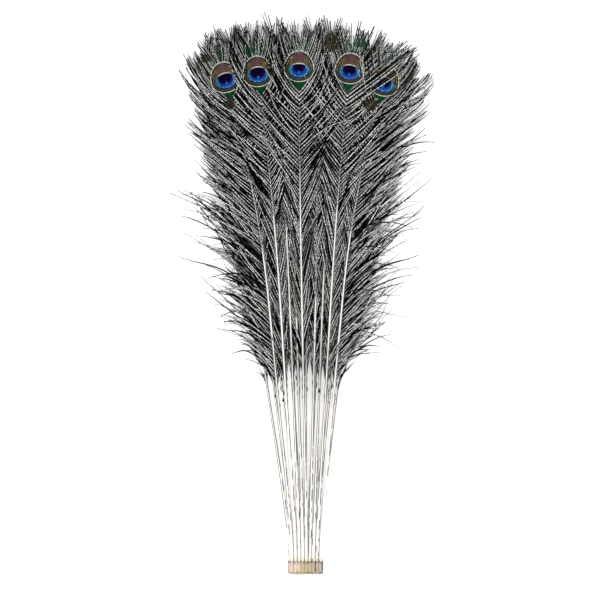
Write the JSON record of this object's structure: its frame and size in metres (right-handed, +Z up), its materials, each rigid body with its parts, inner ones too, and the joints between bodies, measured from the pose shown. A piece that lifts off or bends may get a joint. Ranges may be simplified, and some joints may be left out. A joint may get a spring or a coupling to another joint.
{
  "type": "bunch of peacock feathers",
  "caption": "Fan-shaped bunch of peacock train feathers with eyed tips and bare white quills, bound flat at the quill ends with a tan band, lying face up.",
  "frame": {"origin": "on the surface the bunch lies on, under the middle of its bounding box", "axes": "+Y from the quill ends to the plume tips, +X to the right seen from above, +Z up"},
  "size_m": [0.3672, 0.7794, 0.0437],
  "materials": {
    "feather": "satin",
    "tape": "matte"
  },
  "bodies": {
    "root": {"feather_01": "feather", "feather_02": "feather", "feather_03": "feather", "feather_04": "feather", "feather_05": "feather", "feather_06": "feather", "feather_07": "feather", "feather_08": "feather", "feather_09": "feather", "feather_10": "feather", "feather_11": "feather", "feather_12": "feather", "feather_13": "feather", "feather_14": "feather", "feather_15": "feather", "feather_16": "feather", "feather_17": "feather", "feather_18": "feather", "tape_band": "tape"}
  },
  "joints": []
}
